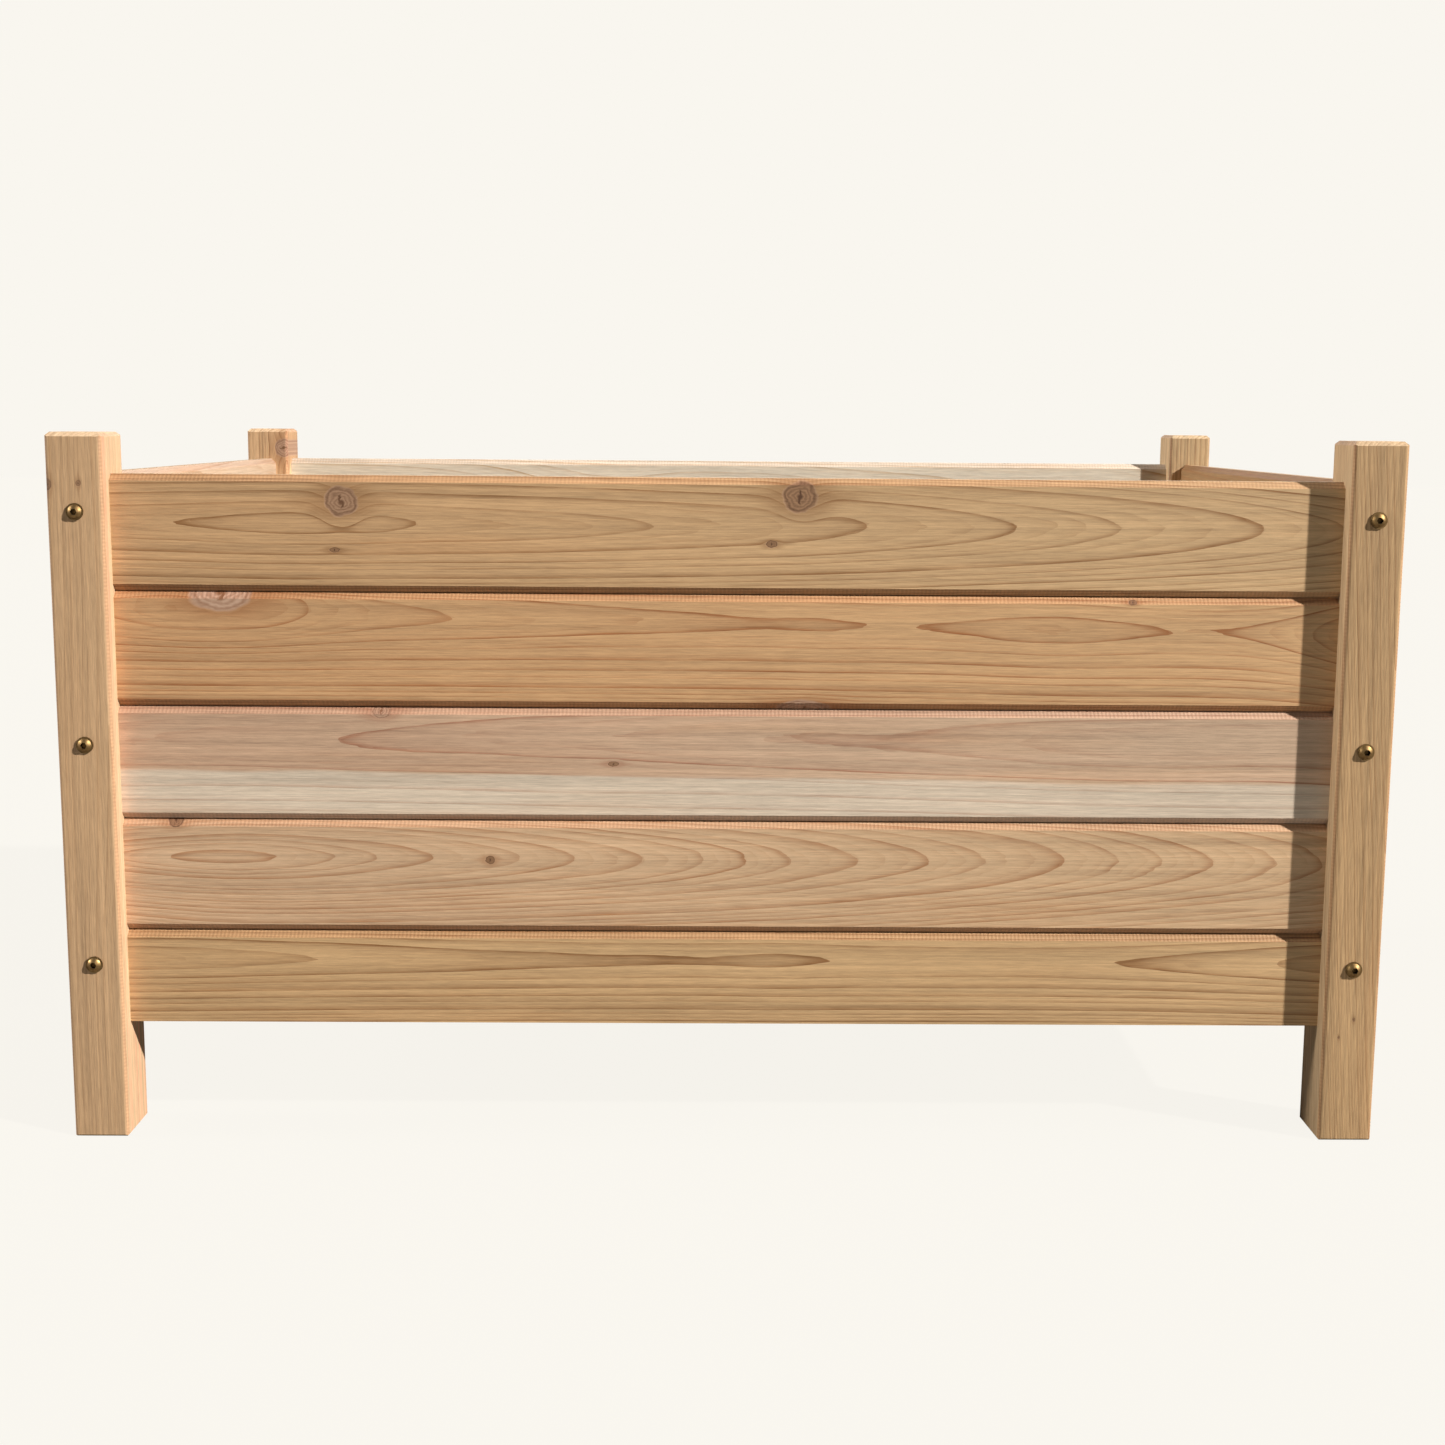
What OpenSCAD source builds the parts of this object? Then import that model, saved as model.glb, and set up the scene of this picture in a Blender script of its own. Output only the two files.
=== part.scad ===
// Raised planter on legs. Four square posts carry walls of V-jointed
// tongue-and-groove boards, which are bolted through the posts into barrel
// nuts. A slatted floor rests on two ledgers screwed inside the long walls.
// Origin: on the ground, at the centre of the footprint.
// +X is to the right along the length, +Y from the front to the rear, +Z up.

/* [Overall] */
// Length over the outside of the posts
length = 914; // [600:1:1800]
// Depth over the outside of the posts
depth = 490; // [340:1:900]
// Height of the walls' lower edge above the ground
ground_clear = 80; // [20:1:600]
// Height of the posts' tops above the walls
post_rise = 28; // [0:1:80]

/* [Posts] */
// Side of the square posts
post = 38; // [30:0.5:70]
// Radius of the posts' upright corners
post_corner_r = 3; // [0.5:0.1:8]
// Bevel around the top of a post
post_top_bevel = 3; // [0.5:0.1:8]
// Bevel around the foot of a post
post_foot_bevel = 1.5; // [0.2:0.1:5]

/* [Wall boards] */
// Number of boards in each wall
board_rows = 5; // [2:1:8]
// Height of wall that a full board covers
cover = 79.5; // [60:0.5:140]
// Height of the bottom board, which is ripped to width
last_cover = 66; // [50:0.5:140]
// Thickness of the boards
board_t = 15; // [12:0.5:28]
// Height of the V bevels along the boards' edges
vee_h = 4.5; // [1:0.1:8]
// Depth of the V bevels into the boards' thickness
vee_d = 3.8; // [1:0.1:4.8]
// Length of the tongues
tongue_l = 6; // [3:0.1:10]
// Play on each side of a tongue, and past its tip
tongue_play = 0.2; // [0.1:0.05:0.6]
// Hairline gap between the shoulders of two boards
shoulder_gap = 0.6; // [0:0.1:2]

/* [Floor] */
// Number of floor slats
slat_count = 9; // [5:1:15]
// Drainage gap between two floor slats
slat_gap = 5; // [2:0.5:15]
// Thickness of the floor slats
slat_t = 15; // [12:0.5:28]
// Gap between a slat's end and the long wall
slat_end_gap = 1.5; // [0.5:0.5:5]
// Radius of the long edges of slats and ledgers
edge_r = 1.5; // [0.5:0.1:4]
// Height of the ledgers
ledger_h = 20; // [18:1:45]
// Width of the ledgers
ledger_w = 20; // [15:1:45]
// Gap between a ledger's end and the post
ledger_end_gap = 1; // [0.5:0.5:5]

/* [Bolts and barrel nuts] */
// Diameter of the bolts' shanks
bolt_d = 6; // [5:0.5:8]
// Play of a bolt in its hole, on the diameter
bolt_play = 0.6; // [0.2:0.1:1.5]
// Diameter of the bolt head's flange
flange_d = 11.6; // [11:0.1:18]
// Thickness of the flange at its rim
flange_t = 0.9; // [0.5:0.1:2]
// Diameter of the domed part of the head
dome_d = 9.4; // [8:0.1:11]
// Height of the domed part above the flange
dome_h = 2.5; // [1.5:0.1:4]
// Width across the flats of the hexagon socket
socket_af = 4; // [3:0.5:6]
// Depth of the hexagon socket
socket_depth = 2.4; // [1:0.1:3]
// Distance from a board's end to its barrel nut's centre
nut_inset = 25; // [15:1:60]
// Diameter of the barrel nuts
nut_d = 10; // [9:0.5:14]
// Wood left behind a barrel nut
nut_skin = 1.5; // [1:0.1:3]
// Length of bolt that passes the barrel nut
bolt_tip = 2; // [1:0.5:4]
// Share of a board's height from its top to the bolts into the end walls
end_bolt_share = 0.315; // [0.2:0.005:0.4]
// Share of a board's height from its top to the bolts into the long walls
long_bolt_share = 0.65; // [0.6:0.005:0.75]

/* [Screws] */
// Diameter of the wood screws
screw_d = 4; // [3:0.5:5]
// Diameter of the screws' countersunk heads
screw_head_d = 8; // [6:0.5:10]
// Depth to which a ledger screw enters the bottom board
ledger_screw_bite = 10; // [6:0.5:11]
// Depth to which a slat screw enters the ledger
slat_screw_bite = 14; // [8:0.5:16]

/* [Hidden] */
$fn = 64;

// Posts and walls
post_x = (length - post) / 2;
post_y = (depth - post) / 2;
wall_h = (board_rows - 1) * cover + last_cover;
wall_top = ground_clear + wall_h;
post_h = wall_top + post_rise;
long_len = length - 2 * post;
end_len = depth - 2 * post;
wall_in_y = post_y - board_t / 2;
wall_in_x = post_x - board_t / 2;

// Tongue and groove
tongue_t = board_t / 3;
groove_w = tongue_t + 2 * tongue_play;
groove_depth = tongue_l + tongue_play - shoulder_gap;

// Bolts, nuts and their holes
bolt_hole_d = bolt_d + bolt_play;
bolt_l = post + nut_inset + nut_d / 2 + bolt_tip;
hole_spare = 3;
board_hole_l = nut_inset + nut_d / 2 + bolt_tip + hole_spare;
nut_l = board_t - 2 * nut_skin;
nut_play = 0.1;
thread_play = 0.05;

// Floor
slat_pitch = long_len / slat_count;
slat_w = slat_pitch - slat_gap;
slat_len = 2 * (wall_in_y - slat_end_gap);
ledger_lift = 1;
ledger_z = long_bolt_z(board_rows - 1) + nut_d / 2 + ledger_lift;
slat_z = ledger_z + ledger_h;
ledger_y = wall_in_y - ledger_w / 2;
ledger_len = long_len - 2 * ledger_end_gap;
ledger_screw_l = ledger_w + ledger_screw_bite;
slat_screw_l = slat_t + slat_screw_bite;

// How far a cut runs past the face that it opens
over = 1;

cedar_post = [0.78, 0.61, 0.43];
cedar_board = [0.81, 0.60, 0.38];
cedar_end = [0.84, 0.66, 0.46];
cedar_floor = [0.76, 0.58, 0.40];
antique_brass = [0.42, 0.31, 0.15];
zinc = [0.70, 0.71, 0.72];

function numbered(name, count) = [for (i = [1 : count]) str(name, "_", i)];

WALLS = ["front", "rear", "left", "right"];
CORNERS = [for (y = ["front", "rear"], x = ["left", "right"]) str(y, "_", x)];

// Rows count from 0 at the top of the wall
function row_top(row) = wall_top - row * cover;
function row_h(row) = row < board_rows - 1 ? cover : last_cover;
function end_bolt_z(row) = row_top(row) - end_bolt_share * row_h(row);
function long_bolt_z(row) = row_top(row) - long_bolt_share * row_h(row);

// Every second board is bolted, and the bottom one always is
bolted_rows = [for (row = [0 : board_rows - 1]) if (row % 2 == 0 || row == board_rows - 1) row];
function is_bolted(row) = len([for (r = bolted_rows) if (r == row) r]) > 0;

function slat_x(i) = (i - (slat_count - 1) / 2) * slat_pitch;

// Under every second slat's centre, a screw holds the ledger to the bottom board
ledger_screw_xs = [for (i = [0 : 2 : slat_count - 1]) slat_x(i)];

// ---- Shared shapes ----

// A rectangle with round corners, centred
module round_rect(w, h, r) {
    square([w - 2 * r, h], center = true);
    square([w, h - 2 * r], center = true);
    for (x = [-1, 1], y = [-1, 1]) {
        translate([x * (w / 2 - r), y * (h / 2 - r)]) circle(r);
    }
}

// Side view of a post, with its top and foot bevels
module post_outline() {
    half = post / 2;
    top = post_top_bevel;
    foot = post_foot_bevel;
    polygon([
        [-half + foot, 0], [half - foot, 0], [half, foot], [half, post_h - top],
        [half - top, post_h], [-half + top, post_h], [-half, post_h - top], [-half, foot]
    ]);
}

// One post on the origin, drilled both ways for the bolts
module square_post() {
    difference() {
        intersection() {
            linear_extrude(post_h) round_rect(post, post, post_corner_r);
            translate([0, post / 2 + over, 0]) rotate([90, 0, 0])
                linear_extrude(post + 2 * over) post_outline();
            translate([-post / 2 - over, 0, 0]) rotate([90, 0, 90])
                linear_extrude(post + 2 * over) post_outline();
        }
        for (row = bolted_rows) {
            translate([0, 0, end_bolt_z(row)]) rotate([90, 0, 0])
                cylinder(d = bolt_hole_d, h = post + 2 * over, center = true);
            translate([0, 0, long_bolt_z(row)]) rotate([0, 90, 0])
                cylinder(d = bolt_hole_d, h = post + 2 * over, center = true);
        }
    }
}

// The bevel that is cut from a board's corner, which lies on the origin
module vee_cut() {
    polygon([[-over, -over], [vee_d, -over], [vee_d, 0], [0, vee_h], [-over, vee_h]]);
}

// Section of a board: thickness along x, height along y
module board_section(row) {
    low = row_top(row) - row_h(row) + (row < board_rows - 1 ? shoulder_gap / 2 : 0);
    high = row_top(row) - (row > 0 ? shoulder_gap / 2 : 0);
    difference() {
        translate([-board_t / 2, low]) square([board_t, high - low]);
        for (side = [0, 1]) mirror([side, 0]) {
            translate([-board_t / 2, high]) mirror([0, 1]) vee_cut();
            if (row < board_rows - 1) translate([-board_t / 2, low]) vee_cut();
        }
        if (row < board_rows - 1) {
            translate([-groove_w / 2, low - over]) square([groove_w, groove_depth + over]);
        }
    }
    if (row > 0) {
        translate([-tongue_t / 2, high - over]) square([tongue_t, tongue_l + over]);
    }
}

// A board along x with its inner face towards +y, drilled at both ends at height bolt_z
module wall_board(row, len, bolt_z) {
    difference() {
        translate([-len / 2, 0, 0]) rotate([90, 0, 90]) linear_extrude(len) board_section(row);
        if (is_bolted(row)) for (end = [-1, 1]) {
            translate([end * (len / 2 + over), 0, bolt_z]) rotate([0, -end * 90, 0])
                cylinder(d = bolt_hole_d, h = board_hole_l + over);
            translate([end * (len / 2 - nut_inset), nut_skin - board_t / 2, bolt_z]) rotate([-90, 0, 0])
                cylinder(d = nut_d + nut_play, h = board_t);
        }
    }
}

module long_board(row) {
    difference() {
        wall_board(row, long_len, long_bolt_z(row));
        if (row == board_rows - 1) {
            translate([0, post_y, 0]) ledger_screw_places() screw_hole(ledger_screw_l);
        }
    }
}

module end_board(row) {
    wall_board(row, end_len, end_bolt_z(row));
}

// Domed flange head on z = 0 with the shank below it
module flange_bolt() {
    ball_r = (dome_d * dome_d / 4 + dome_h * dome_h) / (2 * dome_h);
    difference() {
        union() {
            cylinder(d = flange_d, h = flange_t);
            translate([0, 0, flange_t]) intersection() {
                translate([0, 0, dome_h - ball_r]) sphere(ball_r);
                cylinder(d = dome_d + over, h = dome_h + over);
            }
            translate([0, 0, -bolt_l]) cylinder(d = bolt_d, h = bolt_l + flange_t);
        }
        translate([0, 0, flange_t + dome_h - socket_depth])
            cylinder(d = socket_af / cos(30), h = socket_depth + over, $fn = 6);
    }
}

// Barrel nut along y, with its cross bore along x and a slot in its +y end
module barrel_nut() {
    slot_w = 1.2;
    slot_depth = 1;
    difference() {
        rotate([90, 0, 0]) cylinder(d = nut_d, h = nut_l, center = true);
        rotate([0, 90, 0]) cylinder(d = bolt_d + 2 * thread_play, h = nut_d + 2 * over, center = true);
        translate([-nut_d, nut_l / 2 - slot_depth, -slot_w / 2])
            cube([2 * nut_d, slot_depth + over, slot_w]);
    }
}

// Countersunk wood screw, its head's face on z = 0 and its point below
module wood_screw(l) {
    head_h = (screw_head_d - screw_d) / 2;
    recess_w = 1;
    recess_l = 4.4;
    recess_depth = 0.8 * head_h;
    difference() {
        union() {
            translate([0, 0, -head_h]) cylinder(d1 = screw_d, d2 = screw_head_d, h = head_h);
            translate([0, 0, screw_d - l]) cylinder(d = screw_d, h = l - screw_d - head_h / 2);
            translate([0, 0, -l]) cylinder(d1 = 0, d2 = screw_d, h = screw_d);
        }
        for (turn = [0, 90]) rotate([0, 0, turn])
            translate([-recess_l / 2, -recess_w / 2, -recess_depth])
                cube([recess_l, recess_w, recess_depth + over]);
    }
}

// The space that a wood screw takes, open above z = 0
module screw_hole(l) {
    head_h = (screw_head_d - screw_d) / 2;
    play = 2 * thread_play;
    translate([0, 0, -head_h]) cylinder(d1 = screw_d + play, d2 = screw_head_d + play, h = head_h);
    cylinder(d = screw_head_d + play, h = over);
    translate([0, 0, -l - thread_play]) cylinder(d = screw_d + play, h = l);
}

// ---- Where things repeat ----

// Copies its child at the front wall's ledger screws, z outwards from the ledger's inner face
module ledger_screw_places() {
    for (x = ledger_screw_xs)
        translate([x, ledger_w - wall_in_y, ledger_z + ledger_h / 2]) rotate([-90, 0, 0]) children();
}

// Copies its child at one slat's screws, z upwards from the slat's top
module slat_screw_places(i) {
    for (x = [-1, 1], y = [-1, 1])
        translate([slat_x(i) + x * slat_w / 4, y * ledger_y, slat_z + slat_t]) children();
}

// ---- Sub-parts ----

module leg(x, y) {
    color(cedar_post) translate([x * post_x, y * post_y, 0]) square_post();
}

module wall_piece(wall, row) {
    if (wall == "front") color(cedar_board) translate([0, -post_y, 0]) long_board(row);
    if (wall == "rear") color(cedar_board) rotate([0, 0, 180]) translate([0, -post_y, 0]) long_board(row);
    if (wall == "left") color(cedar_end) translate([-post_x, 0, 0]) rotate([0, 0, -90]) end_board(row);
    if (wall == "right") color(cedar_end) translate([post_x, 0, 0]) rotate([0, 0, 90]) end_board(row);
}

module ledger() {
    color(cedar_floor) difference() {
        translate([-ledger_len / 2, -ledger_y, ledger_z + ledger_h / 2]) rotate([90, 0, 90])
            linear_extrude(ledger_len) round_rect(ledger_w, ledger_h, edge_r);
        ledger_screw_places() screw_hole(ledger_screw_l);
        for (i = [0 : slat_count - 1]) slat_screw_places(i) screw_hole(slat_screw_l);
    }
}

module floor_slat(i) {
    color(cedar_floor) difference() {
        translate([slat_x(i), slat_len / 2, slat_z + slat_t / 2]) rotate([90, 0, 0])
            linear_extrude(slat_len) round_rect(slat_w, slat_t, edge_r);
        slat_screw_places(i) screw_hole(slat_screw_l);
    }
}

module end_wall_bolts() {
    color(antique_brass) for (x = [-1, 1], y = [-1, 1], row = bolted_rows)
        translate([x * post_x, y * depth / 2, end_bolt_z(row)]) rotate([-y * 90, 0, 0]) flange_bolt();
}

module long_wall_bolts() {
    color(antique_brass) for (x = [-1, 1], y = [-1, 1], row = bolted_rows)
        translate([x * length / 2, y * post_y, long_bolt_z(row)]) rotate([0, x * 90, 0]) flange_bolt();
}

module end_wall_barrel_nuts() {
    color(zinc) for (x = [-1, 1], y = [-1, 1], row = bolted_rows)
        translate([x * post_x, y * (end_len / 2 - nut_inset), end_bolt_z(row)])
            rotate([0, 0, x * 90]) barrel_nut();
}

module long_wall_barrel_nuts() {
    color(zinc) for (x = [-1, 1], y = [-1, 1], row = bolted_rows)
        translate([x * (long_len / 2 - nut_inset), y * post_y, long_bolt_z(row)])
            rotate([0, 0, y > 0 ? 180 : 0]) barrel_nut();
}

module ledger_screws() {
    color(zinc) for (turn = [0, 180]) rotate([0, 0, turn]) ledger_screw_places() wood_screw(ledger_screw_l);
}

module slat_screws() {
    color(zinc) for (i = [0 : slat_count - 1]) slat_screw_places(i) wood_screw(slat_screw_l);
}

for (y = [0, 1], x = [0, 1])
    leg(2 * x - 1, 2 * y - 1);
for (wall = WALLS, row = [0 : board_rows - 1])
    wall_piece(wall, row);
ledger();  // ledger_front
rotate([0, 0, 180]) ledger();  // ledger_rear
for (i = [0 : slat_count - 1])
    floor_slat(i);
end_wall_bolts();
end_wall_barrel_nuts();
long_wall_bolts();
long_wall_barrel_nuts();
ledger_screws();
slat_screws();
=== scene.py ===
"""Looks of the raised planter on legs: cedar, brass and zinc materials, light, floor and camera."""

import math
import random

import bpy
from mathutils import Matrix, Vector


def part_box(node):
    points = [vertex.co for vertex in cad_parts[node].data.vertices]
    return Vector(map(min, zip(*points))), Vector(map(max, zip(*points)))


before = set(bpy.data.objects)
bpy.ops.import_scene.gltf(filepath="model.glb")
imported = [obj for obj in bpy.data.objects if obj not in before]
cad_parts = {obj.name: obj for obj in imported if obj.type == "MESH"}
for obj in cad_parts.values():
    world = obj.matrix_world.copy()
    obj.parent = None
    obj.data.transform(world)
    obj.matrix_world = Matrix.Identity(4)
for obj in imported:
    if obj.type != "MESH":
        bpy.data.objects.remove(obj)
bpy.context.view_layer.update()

# ---- Colours, as screen values from 0 to 255 ----

KNOT_PALE = (198, 166, 143)
KNOT_BROWN = (154, 117, 84)
KNOT_RING = (138, 98, 70)
KNOT_HEART = (76, 50, 36)
WARM_STREAK = (196, 146, 100)
PINK_STRIPE = (222, 160, 128)
# Painted highlight: paler tones laid on a piece's sides and end grain, for the washed-out look of brightly
# lit faces
SIDE_PAINTED_HIGHLIGHT = (190, 168, 136)
END_PAINTED_HIGHLIGHT = (214, 196, 170)
BEVEL_TINT = (234, 214, 210)
BRASS_BRIGHT = (160, 131, 88)
BRASS_DULL = (126, 100, 64)
ZINC_BRIGHT = (188, 190, 192)
ZINC_DULL = (150, 152, 156)
FLOOR_TONE = (249, 246, 239)


def linear(tone):
    """The shader's colour for a screen colour whose parts run from 0 to 255."""
    return tuple(((c / 255 + 0.055) / 1.055) ** 2.4 for c in tone) + (1.0,)


# ---- Node trees written as formulas ----

MILLIMETRES = 1000.0  # millimetres in a metre
X, Y, Z = 0, 1, 2


class Term:
    """A number in a node tree. Plus, minus, times and divide make its Math nodes."""

    def __init__(self, graph, socket):
        self.graph = graph
        self.socket = socket

    def __add__(self, other):
        return self.graph.math("ADD", self, other)

    def __sub__(self, other):
        return self.graph.math("SUBTRACT", self, other)

    def __rsub__(self, other):
        return self.graph.math("SUBTRACT", other, self)

    def __mul__(self, other):
        return self.graph.math("MULTIPLY", self, other)

    def __truediv__(self, other):
        return self.graph.math("DIVIDE", self, other)

    __radd__ = __add__
    __rmul__ = __mul__


class Graph:
    """Short forms for the nodes of one tree."""

    def __init__(self, tree):
        self.tree = tree

    def node(self, kind, **settings):
        made = self.tree.nodes.new(kind)
        for name, value in settings.items():
            setattr(made, name, value)
        return made

    def feed(self, socket, value):
        """Give a socket a term, another node's socket, or a plain value."""
        if isinstance(value, Term):
            self.tree.links.new(value.socket, socket)
        elif isinstance(value, bpy.types.NodeSocket):
            self.tree.links.new(value, socket)
        else:
            socket.default_value = value

    def math(self, operation, *values):
        made = self.node("ShaderNodeMath", operation=operation)
        for socket, value in zip(made.inputs, values):
            self.feed(socket, value)
        return Term(self, made.outputs[0])

    def step(self, value, low, high):
        """0 below low, 1 above high, smooth between."""
        made = self.node("ShaderNodeMapRange", interpolation_type="SMOOTHSTEP")
        for name, given in (("Value", value), ("From Min", low), ("From Max", high)):
            self.feed(made.inputs[name], given)
        return Term(self, made.outputs[0])

    def length(self, *parts):
        """The length of a vector with these parts."""
        total = sum((part * part for part in parts[1:]), parts[0] * parts[0])
        return self.math("SQRT", total)

    def vector(self, x, y, z):
        made = self.node("ShaderNodeCombineXYZ")
        for socket, value in zip(made.inputs, (x, y, z)):
            self.feed(socket, value)
        return made.outputs[0]

    def noise(self, place, sizes, seed, detail=1.0, roughness=0.5):
        """Noise about 0, whose lumps measure sizes in millimetres."""
        made = self.node("ShaderNodeTexNoise", noise_dimensions="4D")
        scaled = [part / size for part, size in zip(place, sizes)]
        self.feed(made.inputs["Vector"], self.vector(*scaled))
        self.feed(made.inputs["W"], seed)
        made.inputs["Scale"].default_value = 1.0
        made.inputs["Detail"].default_value = detail
        made.inputs["Roughness"].default_value = roughness
        return Term(self, made.outputs["Fac"]) - 0.5

    def mix(self, share, first, second, blend="MIX"):
        """From the first colour at share 0 to the second at share 1, or to their product with MULTIPLY."""
        made = self.node("ShaderNodeMix", data_type="RGBA", blend_type=blend)
        share_socket, first_socket, second_socket = made.inputs[0], made.inputs[6], made.inputs[7]
        self.feed(share_socket, share)
        self.feed(first_socket, first)
        self.feed(second_socket, second)
        return made.outputs[2]

    def grey(self, level):
        """A colour of equal parts, to multiply another colour by."""
        made = self.node("ShaderNodeCombineColor")
        for socket in made.inputs:
            self.feed(socket, level)
        return made.outputs[0]


def new_group(name, numbers, colours, results, colour_results=()):
    """An empty node group, its graph, its inputs by name and its output node."""
    tree = bpy.data.node_groups.new(name, "ShaderNodeTree")
    for kind, names in (("NodeSocketFloat", numbers), ("NodeSocketColor", colours)):
        for label in names:
            tree.interface.new_socket(name=label, in_out="INPUT", socket_type=kind)
    for kind, names in (("NodeSocketFloat", results), ("NodeSocketColor", colour_results)):
        for label in names:
            tree.interface.new_socket(name=label, in_out="OUTPUT", socket_type=kind)
    graph = Graph(tree)
    start = graph.node("NodeGroupInput")
    given = {label: Term(graph, start.outputs[label]) for label in numbers}
    given.update({label: start.outputs[label] for label in colours})
    return tree, graph, given, graph.node("NodeGroupOutput")


# ---- Cedar ----

KNOT_PUSH = 0.4  # how far the rings bend round a knot, as a share of its radius
FINE_LINES = 3.0  # faint lines to each ring
PLANER_PITCH = 2.7  # millimetres between the planer's marks on a bevel
GOLDEN_ANGLE = 2.4  # radians from ring to ring, so that the order of strong and weak rings doesn't repeat

# How much each of these shows, from not at all at 0 to fully at 1
FINE_SHARE = 0.42
# The next two set how much painted highlight pales a piece's sides and its end grain
SIDE_HIGHLIGHT_SHARE = 0.5
END_HIGHLIGHT_SHARE = 0.6
WARM_SHARE = 0.3
PORE_SHARE = 0.3
STAIN_SHARE = 0.5
KNOT_SHARE = 0.95
BEVEL_SHARE = 0.55
CHATTER_SHARE = 0.05
SAPWOOD_FADING = 0.45  # how much of the rings' strength is lost in sapwood

# The wood's noises: the lumps' size in millimetres along, across and through the piece, what is added to
# the seed, the detail and the roughness
NOISES = {
    "slow": ((300, 75, 75), 0.0, 1.0, 0.5),
    "wiggle": ((70, 11, 11), 7.0, 3.0, 0.6),
    "patchy": ((70, 10, 10), 19.0, 3.0, 0.6),
    "fine patchy": ((60, 5, 5), 37.0, 2.0, 0.5),
    "streak": ((230, 1.6, 1.6), 11.0, 4.0, 0.75),
    "band": ((520, 4.6, 4.6), 23.0, 2.0, 0.5),
    "fibre": ((17, 0.9, 0.9), 13.0, 3.0, 0.7),
    "cloud": ((200, 34, 34), 17.0, 3.0, 0.5),
    "warmth": ((340, 26, 26), 29.0, 2.0, 0.5),
    "stripe": ((600, 300, 8), 41.0, 2.0, 0.5),
    "pores": ((3, 0.5, 0.5), 31.0, 3.0, 0.5),
}


def knot_group():
    """One knot: how far it pushes the rings aside, its core, its shading and the stain around it."""
    numbers = ["Along", "Across", "At Along", "At Across", "Radius", "Stretch", "Seed"]
    tree, g, given, end = new_group("knot", numbers, [], ["Push", "Core", "Shade", "Stain"])
    along = (given["Along"] - given["At Along"]) / given["Stretch"] / given["Radius"]
    across = (given["Across"] - given["At Across"]) / given["Radius"]
    smooth_away = g.length(along, across)
    ripple = g.noise((along, across, across), (0.9, 0.9, 0.9), given["Seed"], detail=2.0)
    away = smooth_away + ripple * 0.55
    push = g.math("EXPONENT", smooth_away * smooth_away * -0.6) * given["Radius"] * KNOT_PUSH

    # The knot's own rings, its dark rim and heart, and a crack
    speckle = g.noise((along, across, across), (0.16, 0.16, 0.16), given["Seed"] + 3.0, detail=2.0)
    rings = g.math("SINE", away * 26.0 - 1.2 + ripple * 6.0) * 0.5 + 0.5 + speckle * 1.6
    rim = g.step(away, 0.66, 0.98)
    heart = 1.0 - g.step(away, 0.06, 0.3)
    crack = 1.0 - g.step(g.math("ABSOLUTE", along + ripple * 0.8), 0.03, 0.1)
    crack = crack * (1.0 - g.step(smooth_away, 0.35, 0.6))
    core = 1.0 - g.step(away, 0.92, 1.1)
    shade = g.math("MAXIMUM", rings * 0.4 + rim * 0.3 + 0.12, g.math("MAXIMUM", heart, crack)) * core

    # The stain: a halo round the knot and a tail along the grain
    tail = 1.0 - g.step(g.math("ABSOLUTE", across + ripple * 0.4), 0.1, 0.6)
    tail = tail * (1.0 - g.step(g.math("ABSOLUTE", along), 1.0, 5.0))
    halo = g.length(along * 0.6, across) + ripple * 0.4
    g.feed(end.inputs["Push"], push)
    g.feed(end.inputs["Core"], core)
    g.feed(end.inputs["Shade"], shade)
    g.feed(end.inputs["Stain"], g.math("MAXIMUM", 1.0 - g.step(halo, 0.7, 1.9), tail))
    return tree


def growth_rings(g, given, wood_noise):
    """The rings that a face cuts: their lines, their colour's spread inwards, and faint lines between."""
    along = given["Along"]
    across = given["Across"] - given["Pith Across"] + along * given["Skew"]
    slope = given["Tilt"] + along * given["Bow"] * 2.0
    depth = given["Through"] + given["Pith Depth"] + along * (given["Tilt"] + along * given["Bow"])
    from_pith = g.length(across, depth)
    radius = from_pith + wood_noise("slow") * given["Wander"]
    radius = radius + wood_noise("wiggle") * given["Wiggle"] + given["Push"]
    count = (radius - given["Ring Start"]) / given["Ring Width"]
    rings = count + g.math("SINE", count * 1.9) * 0.16 + g.math("SINE", count * 0.83) * 0.25
    share = g.math("FRACT", rings)

    # How fast the rings pass along this face, so that a line keeps its width where the face grazes them
    square_on = (across * given["Normal Across"] + depth * given["Normal Through"]) / from_pith
    passing = g.math("MAXIMUM", 1.0 - square_on * square_on, 0.0) + slope * slope + 0.004
    spread = given["Ring Width"] / g.math("POWER", passing, 0.4)
    before = (1.0 - share) * spread / given["Line Width"]
    after = share * spread / given["Line Width"]
    line = g.math("POWER", 1.0 - g.step(before, 0.0, 2.0), 1.5) * g.step(after, 0.0, 0.4)

    strength = g.math("COSINE", (g.math("FLOOR", rings) + 1.0) * GOLDEN_ANGLE) * 0.26 + 0.74
    patchy = wood_noise("patchy")
    latewood = line * g.math("MAXIMUM", strength * 0.62 + patchy * 1.5, 0.06)
    wash = g.math("POWER", share, 2.2) * (strength + patchy * 1.3) * given["Wash"]
    fine_share = g.math("FRACT", rings * FINE_LINES + patchy)
    fine = g.math("POWER", fine_share, 2.2) * g.math("MAXIMUM", wood_noise("fine patchy") * 2.4 + 0.5, 0.0)
    return latewood, wash, fine


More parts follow.
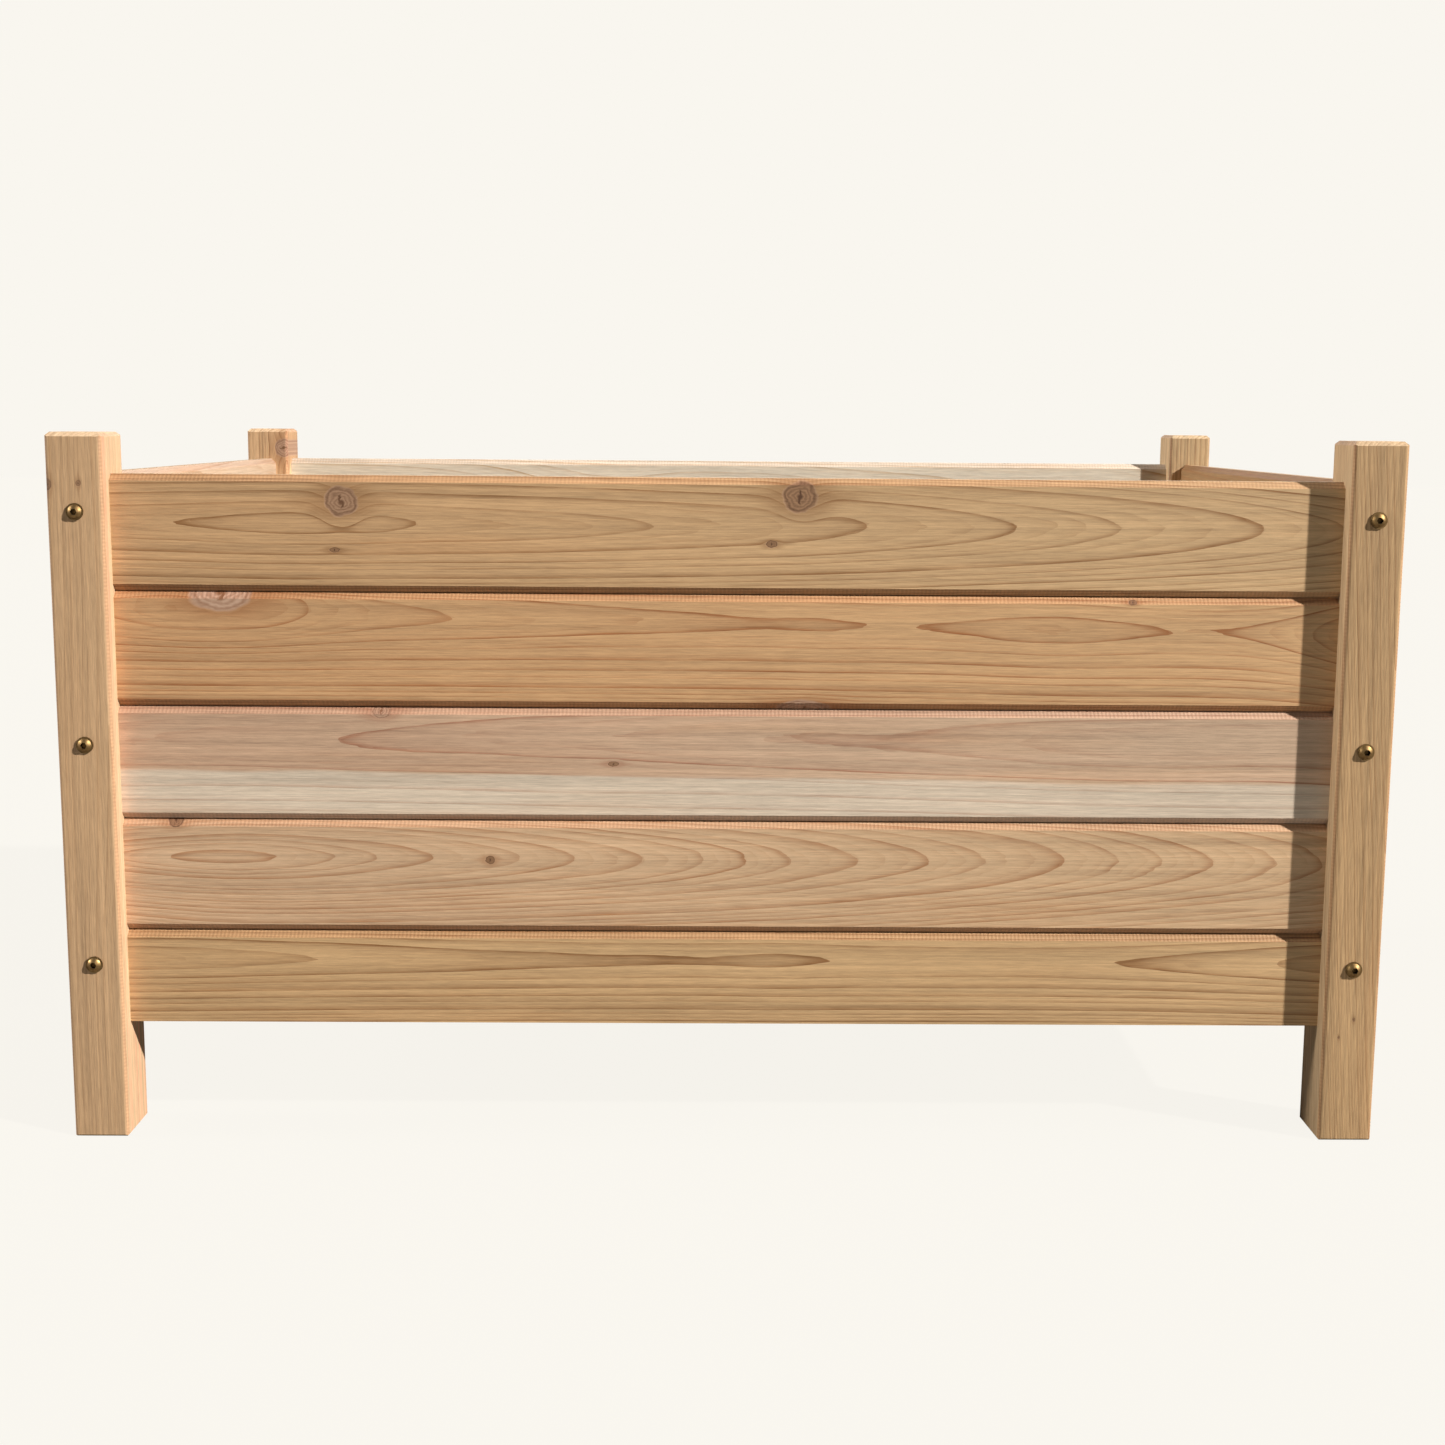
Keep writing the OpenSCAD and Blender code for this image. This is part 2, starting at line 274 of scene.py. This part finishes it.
def bare_wood(g, given, wood_noise):
    """The wood's colour before its rings, with painted highlight paling its sides and end grain, and how
    much of it is sapwood.
    """
    sap_noise = g.noise((given["Along"],) * 3, (180, 1e6, 1e6), given["Seed"], detail=2.0)
    sap_line = given["Across"] + sap_noise * 8.0
    sapwood = 1.0 - g.step(sap_line - given["Sap Edge"], -1.2, 1.8)
    ground = g.mix(sapwood, given["Early"], given["Sap"])
    # Painted highlight: the sides pale towards a washed-out tone
    ground = g.mix(given["Side"] * SIDE_HIGHLIGHT_SHARE, ground, linear(SIDE_PAINTED_HIGHLIGHT))
    stripe = g.step(wood_noise("stripe"), 0.0, 0.12) * given["Side"]
    ground = g.mix(stripe * given["Pink"], ground, linear(PINK_STRIPE))
    # Painted highlight: end grain, such as the legs' tops, pales towards a washed-out tone
    return g.mix(given["End Grain"] * END_HIGHLIGHT_SHARE, ground, linear(END_PAINTED_HIGHLIGHT)), sapwood


def with_knots(g, given, ground):
    """The ground with the knots, and the stain round them."""
    ground = g.mix(given["Stain"] * STAIN_SHARE, ground, given["Late"])
    knot_light = g.mix(given["Tone"], linear(KNOT_PALE), linear(KNOT_BROWN))
    knot_dark = g.mix(given["Tone"], linear(KNOT_RING), linear(KNOT_HEART))
    knot = g.mix(given["Shade"], knot_light, knot_dark)
    return g.mix(given["Core"] * KNOT_SHARE, ground, knot)


def with_bevels(g, given, ground, chatter):
    """The ground with tinted bevels, which show the planer's marks."""
    tinted = g.mix(1.0, ground, linear(BEVEL_TINT), "MULTIPLY")
    ground = g.mix(given["Bevel"] * BEVEL_SHARE, ground, tinted)
    return g.mix(1.0, ground, g.grey(1.0 + chatter * CHATTER_SHARE), "MULTIPLY")


def cedar_group():
    """Sawn cedar as a solid: growth rings around a tilted pith, seen wherever a face cuts them."""
    numbers = ["Along", "Across", "Through", "Normal Across", "Normal Through", "Pith Across", "Pith Depth",
               "Tilt", "Bow", "Skew", "Ring Start", "Ring Width", "Wander", "Wiggle", "Line Width",
               "Contrast", "Streaks", "Wash", "Pink", "Seed", "Sap Edge", "Push", "Core", "Shade",
               "Stain", "Tone", "End Grain", "Bevel", "Side"]
    colours = ["Early", "Late", "Sap"]
    tree, g, given, end = new_group("cedar", numbers, colours, ["Roughness", "Height"], ["Color"])
    place = (given["Along"], given["Across"], given["Through"])

    def wood_noise(name):
        sizes, seed_step, detail, roughness = NOISES[name]
        return g.noise(place, sizes, given["Seed"] + seed_step, detail, roughness)

    latewood, wash, fine = growth_rings(g, given, wood_noise)
    ground, sapwood = bare_wood(g, given, wood_noise)
    mark = (latewood + wash + fine * FINE_SHARE) * given["Contrast"] * (1.0 - sapwood * SAPWOOD_FADING)
    mark = g.math("MAXIMUM", g.math("MINIMUM", mark, 1.0), 0.0)
    ground = g.mix(mark, ground, given["Late"])
    ground = g.mix(g.step(wood_noise("warmth"), 0.02, 0.3) * WARM_SHARE, ground, linear(WARM_STREAK))

    streak = wood_noise("streak") * given["Streaks"]
    band = wood_noise("band") * given["Streaks"]
    fibre = wood_noise("fibre") * given["Streaks"]
    cloud = wood_noise("cloud")
    lightness = 1.0 + streak * 0.62 + fibre * 0.72 + cloud * 0.3 + band * 0.55
    ground = g.mix(1.0, ground, g.grey(lightness), "MULTIPLY")

    chatter = g.math("SINE", given["Along"] * (2 * math.pi / PLANER_PITCH) + cloud * 9.0) * given["Bevel"]
    pores = g.step(wood_noise("pores"), 0.05, 0.3) * given["End Grain"]
    ground = with_bevels(g, given, with_knots(g, given, ground), chatter)
    ground = g.mix(pores * PORE_SHARE, ground, given["Late"])

    rough = 0.62 - latewood * 0.1 + streak * 0.2 + given["End Grain"] * 0.12
    height = latewood * 0.4 + streak * 0.7 + fibre * 0.9 + chatter * 0.3 - given["Core"] * 0.5
    g.feed(end.inputs["Color"], ground)
    g.feed(end.inputs["Roughness"], rough)
    g.feed(end.inputs["Height"], height)
    return tree


CEDAR = cedar_group()
KNOT = knot_group()

NO_SAPWOOD = -500.0  # a sapwood edge far below any piece
HALF_BOARD = 7.5  # millimetres from the middle of a wall board to its face
FADE_LENGTH = 438  # millimetres from a board's middle to where early or far is reached, just past its end
BUMP_DEPTH = 0.0004  # metres
WOOD_SPECULAR = 0.3

# The figure where a piece's own says nothing
PLAIN = dict(
    early=(194, 159, 120), far=None, late=(150, 106, 68), sap=(211, 195, 174), pith=(10, 90), tilt=0.01,
    bow=0.0, skew=0.0, first=0.0, ring=3.0, wander=16.0, wiggle=1.0, line=1.3, contrast=0.85,
    streaks=1.0, wash=0.4, pink=0.0, sap_edge=NO_SAPWOOD, sap_slope=0.0, knots=(), swells=(),
)

# The front boards' figure from the top row down, in millimetres from the board's middle:
#   early, far      the wood between the rings, from the board's left end to its right end
#   late, sap       the rings, and the sapwood
#   pith            the tree's middle: how far up the board it is, and how far in front of its middle
#   tilt, bow       how the pith's distance changes along the board, evenly and in a curve
#   skew            how the pith moves across the board along its length
#   first, ring     how much farther from the pith than the face one ring is, and the rings' spacing
#   wander, wiggle  slow and quick bends of the rings
#   line, wash      the width of a ring's line, and how strongly its colour spreads inwards
#   sap_edge        the board is sapwood below this height, and sap_slope tilts the edge
#   knots           (along, across, radius, stretch along the board, tone from pale 0 to dark 1)
#   swells          places where the rings bend: (along, across, radius, stretch, height)
FRONT_FIGURES = [
    dict(
        early=(192, 155, 114), far=(198, 166, 125), late=(138, 98, 60), pith=(7.5, 50), tilt=0.0206,
        bow=3.4e-5, first=-2.82, ring=2.77, wander=2.5, wiggle=0.5, line=1.3, wash=0.2,
        knots=(
            (-263, 22, 10, 1.1, 0.7),
            (48, 27, 10.5, 1.1, 0.9),
            (-268, -11, 1.8, 2.0, 1.0),
            (29, -5, 2.6, 1.5, 1.0),
        ),
        swells=((-303, 8, 150, 0.38, -0.5), (-252, 9, 12, 2.4, -0.45)),
    ),
    dict(
        early=(193, 153, 111), far=(200, 162, 119), late=(152, 98, 58), pith=(17.4, 66), tilt=0.0,
        skew=0.0148, first=-0.26, ring=2.9, wander=1.2, wiggle=0.4, line=1.3, wash=0.24,
        knots=(
            (-347, 37, 14, 1.5, 0.0),
            (277, 33, 1.8, 1.6, 1.0),
            (52, -44, 8, 2.4, 0.15),
        ),
        swells=(
            (-480, 14, 150, 2.2, -4.8),
            (-347, 37, 30, 2.0, -7.0),
            (225, 13, 150, 0.4, -0.7),
            (65, 15, 150, 0.2, -0.22),
            (470, 13, 150, 0.467, -6.3),
        ),
    ),
    dict(
        early=(191, 159, 132), far=(199, 171, 144), late=(160, 112, 86), pith=(15, 120), tilt=-0.0065,
        first=1.5, ring=3.1, wander=4, wiggle=0.4, line=1.1, wash=0.2, sap_edge=-11.5, sap_slope=-0.0085,
        knots=((-239, 34, 5, 1.3, 0.3), (-79, -2, 1.8, 2.2, 0.9)),
    ),
    dict(
        early=(202, 170, 137), far=(205, 173, 136), late=(162, 114, 76), pith=(10.5, 44), tilt=0.063,
        first=1.07, ring=2.6, wander=3, line=1.9, contrast=0.66,
        knots=((-383, 36, 5, 1.1, 0.9), (-165, 9, 3.0, 1.1, 1.0)),
        swells=((-470, 10, 150, 0.6, 11.6),),
    ),
    dict(
        early=(196, 161, 118), far=(198, 164, 121), late=(140, 100, 62), pith=(10, 50), tilt=0.0,
        first=-0.11, ring=2.4, wander=1.5, wiggle=0.4, line=1.8, contrast=0.5, wash=1.1,
        swells=((-438, 10, 150, 1.53, -2.6), (35, 10, 150, 0.233, -0.3), (470, 10, 150, 0.867, -2.6)),
    ),
]

# What replaces a hidden figure on the other walls' top boards, whose colours show in the photo
TOP_BOARDS = {
    "rear": dict(early=(221, 214, 196), late=(190, 164, 130)),
    "left": dict(early=(184, 163, 140), knots=()),
    # Painted shade: the right wall's top board gets a darker colour for the shade on its inner face
    "right": dict(early=(158, 126, 88), knots=()),
}

# The legs' figure, with along counted upwards and across counted to the right from the leg's middle. Pink is
# how strong the pink stripes on the sides are.
LEG_FIGURES = {
    "front_left": dict(
        early=(190, 156, 119), late=(150, 112, 76), pith=(34, 70), tilt=0.012, ring=2.3, wander=10,
        line=0.9, contrast=0.4, streaks=1.2, pink=0.85,
        knots=((212, 3, 1.8, 1.2, 0.9), (211, -18, 3.2, 1.3, 0.9)),
    ),
    "front_right": dict(
        early=(187, 154, 113), late=(140, 101, 64), pith=(46, 60), skew=0.085, ring=1.9, wander=14,
        line=1.0, contrast=0.6, streaks=1.2, knots=((-157, 2, 1.0, 1.5, 1.0), (-170, -8, 0.8, 1.5, 1.0)),
    ),
    "rear_left": dict(
        early=(212, 175, 134), late=(152, 106, 68), pith=(50, 70), tilt=0.02, ring=2.4, wander=9,
        line=1.2, contrast=0.7, streaks=1.4, knots=((228, 15, 8, 1.1, 0.4),),
    ),
    "rear_right": dict(
        early=(200, 171, 130), late=(148, 106, 68), pith=(40, 80), tilt=-0.01, ring=2.3, wander=9,
        line=1.2, contrast=0.7, streaks=1.4,
    ),
}


def new_material(name):
    """A new material, the graph of its nodes and its shader."""
    material = bpy.data.materials.new(name)
    material.use_nodes = True
    return material, Graph(material.node_tree), material.node_tree.nodes["Principled BSDF"]


def parts_of(g, vector):
    """The x, y and z of a vector socket, as terms."""
    split = g.node("ShaderNodeSeparateXYZ")
    g.feed(split.inputs[0], vector)
    return [Term(g, socket) for socket in split.outputs]


def bump_normal(g, height, strength, distance):
    """The surface's direction with a bump of this height, whose distance is in metres."""
    bump = g.node("ShaderNodeBump")
    bump.inputs["Strength"].default_value = strength
    bump.inputs["Distance"].default_value = distance
    g.feed(bump.inputs["Height"], height)
    return bump.outputs[0]


def disturb_rings(g, place, look, seed):
    """What the piece's knots and swells do to its rings and colours, by input of the cedar group."""
    values = {"Push": 0.0, "Core": 0.0, "Shade": 0.0, "Stain": 0.0, "Tone": 0.0}
    for index, (at_along, at_across, radius, stretch, tone) in enumerate(look["knots"]):
        knot = g.node("ShaderNodeGroup", node_tree=KNOT)
        given = {"Along": place[0], "Across": place[1], "At Along": at_along, "At Across": at_across,
                 "Radius": radius, "Stretch": stretch, "Seed": seed + index}
        for name, value in given.items():
            g.feed(knot.inputs[name], value)
        core = Term(g, knot.outputs["Core"])
        values["Push"] = Term(g, knot.outputs["Push"]) + values["Push"]
        values["Tone"] = core * tone + values["Tone"]
        for name in ("Core", "Shade", "Stain"):
            values[name] = g.math("MAXIMUM", Term(g, knot.outputs[name]), values[name])

    for at_along, at_across, radius, stretch, height in look["swells"]:
        away = g.length((place[0] - at_along) / (radius * stretch), (place[1] - at_across) / radius)
        values["Push"] = g.math("EXPONENT", away * away * -1.0) * height + values["Push"]
    return values


def cedar_material(node, grain, face, figure, seed):
    """The piece's own cedar: the same tree rings on every side, and end grain on both ends."""
    look = {**PLAIN, **figure}
    low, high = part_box(node)
    middle = (low + high) / 2
    through = X + Y + Z - grain - face
    axes = (grain, face, through)
    material, g, shader = new_material("cedar_" + node)
    xyz = parts_of(g, g.node("ShaderNodeTexCoord").outputs["Object"])
    place = [(xyz[axis] - middle[axis]) * MILLIMETRES for axis in axes]
    normal = parts_of(g, g.node("ShaderNodeNewGeometry").outputs["True Normal"])
    facing = [normal[axis] for axis in axes]
    end_on = g.math("ABSOLUTE", facing[0])
    edge_on = g.math("ABSOLUTE", facing[1])
    side = g.step(edge_on, 0.9, 0.98)

    early = linear(look["early"])
    if look["far"]:
        early = g.mix(g.step(place[0], -FADE_LENGTH, FADE_LENGTH), early, linear(look["far"]))

    pith_across, pith_depth = look["pith"]
    values = {
        "Along": place[0], "Across": place[1], "Through": place[2],
        "Normal Across": facing[1], "Normal Through": facing[2],
        "Pith Across": pith_across, "Pith Depth": pith_depth,
        "Tilt": look["tilt"], "Bow": look["bow"], "Skew": look["skew"],
        "Ring Start": pith_depth - HALF_BOARD + look["first"], "Ring Width": look["ring"],
        "Wander": look["wander"], "Wiggle": look["wiggle"],
        "Line Width": look["line"], "Contrast": look["contrast"],
        "Streaks": look["streaks"], "Wash": look["wash"], "Pink": look["pink"], "Seed": seed,
        "Sap Edge": place[0] * look["sap_slope"] + look["sap_edge"],
        "End Grain": g.step(end_on, 0.6, 0.8), "Side": side,
        "Bevel": g.step(edge_on, 0.3, 0.5) * (1.0 - side),
        "Early": early, "Late": linear(look["late"]), "Sap": linear(look["sap"]),
        **disturb_rings(g, place, look, seed),
    }
    cedar = g.node("ShaderNodeGroup", node_tree=CEDAR)
    for name, value in values.items():
        g.feed(cedar.inputs[name], value)
    g.feed(shader.inputs["Base Color"], cedar.outputs["Color"])
    g.feed(shader.inputs["Roughness"], cedar.outputs["Roughness"])
    g.feed(shader.inputs["Normal"], bump_normal(g, cedar.outputs["Height"], 0.35, BUMP_DEPTH))
    shader.inputs["Specular IOR Level"].default_value = WOOD_SPECULAR
    return material


# ---- Metals ----

METAL_BUMP_DEPTH = 0.0001  # metres
SOCKET_REACH = 0.003  # metres within which nearby metal darkens a surface with painted shade, as inside a bolt's socket


def metal_material(name, bright, dull, roughness, patch_size):
    """A worn metal with patches of this many millimetres in colour and roughness, and painted shade
    darkening its hollows.
    """
    lowest, highest = roughness
    material, g, shader = new_material(name)
    xyz = parts_of(g, g.node("ShaderNodeTexCoord").outputs["Object"])
    place = [part * MILLIMETRES for part in xyz]
    patch = g.noise(place, (patch_size,) * 3, 1.0, detail=4.0, roughness=0.6)
    scratch = g.noise(place, (0.25, 3.0, 0.25), 5.0, detail=2.0)
    worn = g.step(patch, -0.2, 0.2)
    # Painted shade: the colour darkens where nearby metal closes in, as in a bolt's socket and round its
    # head
    painted_shade_ao = g.node("ShaderNodeAmbientOcclusion", samples=4)
    painted_shade_ao.inputs["Distance"].default_value = SOCKET_REACH
    unshaded_share = g.step(Term(g, painted_shade_ao.outputs["AO"]), 0.3, 0.85)
    tone = g.mix(worn, linear(dull), linear(bright))
    g.feed(shader.inputs["Base Color"], g.mix(1.0, tone, g.grey(unshaded_share * 0.88 + 0.12), "MULTIPLY"))
    g.feed(shader.inputs["Roughness"], lowest + (1.0 - worn) * (highest - lowest) + scratch * 0.15)
    g.feed(shader.inputs["Normal"], bump_normal(g, patch + scratch, 0.15, METAL_BUMP_DEPTH))
    shader.inputs["Metallic"].default_value = 1.0
    return material


# ---- Assignment ----

ROWS = 5
SLATS = 9
SEED = 11
chance = random.Random(SEED)


def hidden_figure():
    """A board's figure where the design gives none: the same tree, another plank."""
    warm = chance.uniform(-5, 6)
    knots = tuple(
        (chance.uniform(-380, 380) * 0.5, chance.uniform(-28, 28), chance.uniform(2, 7),
         chance.uniform(1.1, 1.8), chance.uniform(0.3, 1.0))
        for _ in range(chance.choice((0, 1, 1, 2)))
    )
    return dict(
        early=(194 + warm, 159 + warm * 0.6, 120), late=(150, 107, 69),
        pith=(chance.uniform(-18, 18), chance.uniform(45, 110)), tilt=chance.uniform(-0.03, 0.05),
        ring=chance.uniform(2.5, 4.0), wander=chance.uniform(8, 20), line=chance.uniform(1.1, 1.6),
        knots=knots,
    )


def paint(node, material):
    """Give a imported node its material."""
    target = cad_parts[node]
    target.data.materials.clear()
    target.data.materials.append(material)


def dress_walls():
    for wall, grain in (("front", X), ("rear", X), ("left", Y), ("right", Y)):
        for row in range(ROWS):
            figure = FRONT_FIGURES[row] if wall == "front" else hidden_figure()
            if row == 0 and wall in TOP_BOARDS:
                figure.update(TOP_BOARDS[wall])
            name = f"{wall}_board_{row + 1}"
            seed = 10.0 * row + 3.7 * grain + len(wall)
            paint(name, cedar_material(name, grain, Z, figure, seed))


def dress_legs():
    for index, (corner, figure) in enumerate(LEG_FIGURES.items()):
        name = "leg_" + corner
        paint(name, cedar_material(name, Z, X, figure, 70.0 + 5 * index))


def dress_floor():
    for slat in range(1, SLATS + 1):
        name = f"floor_slat_{slat}"
        paint(name, cedar_material(name, Y, X, hidden_figure(), 100.0 + 3 * slat))
    for index, side in enumerate(("front", "rear")):
        name = "ledger_" + side
        paint(name, cedar_material(name, X, Z, hidden_figure(), 150.0 + index))


def dress_fasteners():
    brass = metal_material("antique_brass", BRASS_BRIGHT, BRASS_DULL, roughness=(0.44, 0.6), patch_size=2.6)
    zinc = metal_material("zinc_plate", ZINC_BRIGHT, ZINC_DULL, roughness=(0.28, 0.5), patch_size=2.0)
    for name in ("end_wall_bolts", "long_wall_bolts"):
        paint(name, brass)
    for name in ("end_wall_barrel_nuts", "long_wall_barrel_nuts", "ledger_screws", "slat_screws"):
        paint(name, zinc)


# ---- Stage ----

FLOOR_HALF = 12.0  # metres
FLOOR_GLOW = 0.961  # most of the floor's brightness in the picture is its own
FLOOR_LIT = 0.0265  # the rest is lit, and shows a faint shadow
FLOOR_BOUNCE = (0.23, 0.22, 0.20, 1)  # the floor's colour as it lights the object
FILL_COLOUR = (0.92, 0.95, 1.0, 1)
FILL_STRENGTH = 0.099
SUN_COLOUR = (1.0, 0.97, 0.93)

# Suns: the direction towards each, its strength and its width in degrees. The key sun comes from the right,
# the front and above, and casts the photo's shadow. The side sun comes from the left.
SUNS = {
    "key": ((2.34, -1.0, 1.60), 6.75, 1.4),
    "side": ((-0.9, -0.02, 0.36), 2.95, 10),
    "rear": ((0.12, 0.9, 0.42), 1.0, 45),
}

CAMERA_PLACE = (0.0009, -1.3203, 0.5022)
CAMERA_YAW = math.radians(0.537)
CAMERA_PITCH = math.radians(-7.023)
CAMERA_ROLL = math.radians(0.427)
CAMERA_LENS = 39.86
CAMERA_SHIFT = (-0.0154, -0.0720)


def light_by_ray(tree, seen, bounced, output):
    """The camera sees one shader, and the light that the stage gives back comes from another."""
    path = tree.nodes.new("ShaderNodeLightPath")
    mix = tree.nodes.new("ShaderNodeMixShader")
    tree.links.new(path.outputs["Is Camera Ray"], mix.inputs[0])
    tree.links.new(bounced.outputs[0], mix.inputs[1])
    tree.links.new(seen, mix.inputs[2])
    tree.links.new(mix.outputs[0], output.inputs["Surface"])


def make_floor():
    low, high = -FLOOR_HALF, FLOOR_HALF
    mesh = bpy.data.meshes.new("floor")
    mesh.from_pydata([(low, low, 0), (high, low, 0), (high, high, 0), (low, high, 0)], [], [(0, 1, 2, 3)])
    floor = bpy.data.objects.new("floor", mesh)
    bpy.context.scene.collection.objects.link(floor)
    material = bpy.data.materials.new("floor")
    material.use_nodes = True
    tree = material.node_tree
    tree.nodes.clear()
    glow = tree.nodes.new("ShaderNodeEmission")
    glow.inputs["Color"].default_value = linear(FLOOR_TONE)
    glow.inputs["Strength"].default_value = FLOOR_GLOW
    lit = tree.nodes.new("ShaderNodeBsdfDiffuse")
    lit.inputs["Color"].default_value = tuple(c * FLOOR_LIT for c in linear(FLOOR_TONE)[:3]) + (1.0,)
    bounce = tree.nodes.new("ShaderNodeBsdfDiffuse")
    bounce.inputs["Color"].default_value = FLOOR_BOUNCE
    both = tree.nodes.new("ShaderNodeAddShader")
    tree.links.new(glow.outputs[0], both.inputs[0])
    tree.links.new(lit.outputs[0], both.inputs[1])
    light_by_ray(tree, both.outputs[0], bounce, tree.nodes.new("ShaderNodeOutputMaterial"))
    mesh.materials.append(material)


def make_world():
    world = bpy.data.worlds.new("studio")
    world.use_nodes = True
    tree = world.node_tree
    tree.nodes.clear()
    seen = tree.nodes.new("ShaderNodeBackground")
    seen.inputs["Color"].default_value = linear(FLOOR_TONE)
    fill = tree.nodes.new("ShaderNodeBackground")
    fill.inputs["Color"].default_value = FILL_COLOUR
    fill.inputs["Strength"].default_value = FILL_STRENGTH
    light_by_ray(tree, seen.outputs[0], fill, tree.nodes.new("ShaderNodeOutputWorld"))
    bpy.context.scene.world = world


def make_suns():
    for name, (towards, strength, width) in SUNS.items():
        data = bpy.data.lights.new(name, "SUN")
        data.energy = strength
        data.angle = math.radians(width)
        data.color = SUN_COLOUR
        sun = bpy.data.objects.new(name, data)
        sun.rotation_mode = "QUATERNION"
        sun.rotation_quaternion = Vector(towards).normalized().to_track_quat("Z", "Y")
        bpy.context.scene.collection.objects.link(sun)


def make_camera():
    """The photograph's viewpoint, a little above the rim and square on to the front wall."""
    level = math.cos(CAMERA_PITCH)
    ahead = Vector((math.sin(CAMERA_YAW) * level, math.cos(CAMERA_YAW) * level, math.sin(CAMERA_PITCH)))
    level_right = Vector((math.cos(CAMERA_YAW), -math.sin(CAMERA_YAW), 0))
    level_up = level_right.cross(ahead)
    right = level_right * math.cos(CAMERA_ROLL) + level_up * math.sin(CAMERA_ROLL)
    up = level_up * math.cos(CAMERA_ROLL) - level_right * math.sin(CAMERA_ROLL)
    data = bpy.data.cameras.new("camera")
    data.sensor_width = 36
    data.lens = CAMERA_LENS
    data.shift_x, data.shift_y = CAMERA_SHIFT
    camera = bpy.data.objects.new("camera", data)
    turn = Matrix((right, up, -ahead)).transposed()
    camera.matrix_world = Matrix.Translation(CAMERA_PLACE) @ turn.to_4x4()
    bpy.context.scene.collection.objects.link(camera)
    bpy.context.scene.camera = camera


dress_walls()
dress_legs()
dress_floor()
dress_fasteners()
make_floor()
make_world()
make_suns()
make_camera()
bpy.context.scene.view_settings.view_transform = "Standard"
